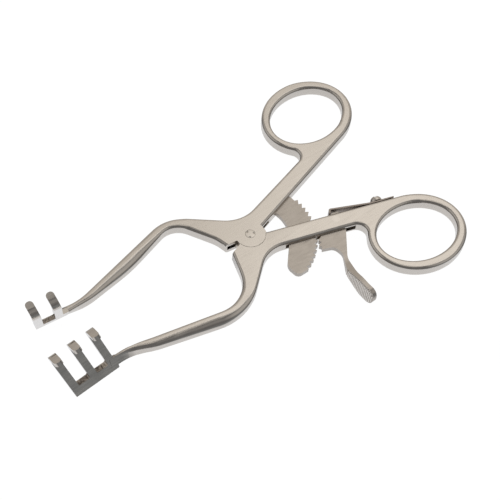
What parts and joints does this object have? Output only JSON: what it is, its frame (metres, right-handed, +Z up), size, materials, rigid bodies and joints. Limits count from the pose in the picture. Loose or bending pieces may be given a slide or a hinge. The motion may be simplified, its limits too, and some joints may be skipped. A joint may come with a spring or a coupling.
{
  "type": "self retaining retractor",
  "caption": "Small self retaining surgical retractor: two hinged limbs with finger rings, upturned hooked prongs, a curved ratchet bar and a sprung release lever.",
  "frame": {"origin": "on the box joint's axis, in the flat underside of the limbs", "axes": "+X along the midline from the joint toward the finger rings, +Y toward the two-prong limb, +Z up, the way the prongs stand"},
  "size_m": [0.126, 0.0772, 0.0201],
  "materials": {
    "limb_steel": "satin stainless steel, fine brushed faces, polished rounded edges",
    "hardened_steel": "matt hardened stainless steel",
    "spring_steel": "dark spring steel strip",
    "pin_steel": "turned stainless steel, ground flush"
  },
  "bodies": {
    "three_prong_side": {"three_prong_limb": "limb_steel", "lever_pin": "pin_steel", "spring_screw": "pin_steel"},
    "two_prong_side": {"two_prong_limb": "limb_steel", "ratchet_bar": "hardened_steel", "ratchet_rivets": "pin_steel", "joint_rivet": "pin_steel"},
    "lever": {"release_lever": "hardened_steel"},
    "spring": {"leaf_spring": "spring_steel"}
  },
  "joints": [
    {"name": "box_joint", "type": "hinge", "parent": "three_prong_side", "child": "two_prong_side", "pos_m": [0, 0, 0.002], "axis": [0, 0, 1], "range_deg": [-25.3, 15.18]},
    {"name": "lever_pivot", "type": "hinge", "parent": "three_prong_side", "child": "lever", "pos_m": [0.0236, -0.0096, 0.002], "axis": [0, 0, 1], "range_deg": [-6.6, 10], "stiffness_Nm_per_rad": 0.05, "springref_deg": -11.46},
    {"name": "spring_flex", "type": "hinge", "parent": "three_prong_side", "child": "spring", "pos_m": [0.0381, -0.01126, 0.002], "axis": [0, 0, 1], "range_deg": [-2, 1.32]}
  ],
  "couplings": [
    {"joint": "spring_flex", "follows": "lever_pivot", "ratio": -0.2}
  ]
}
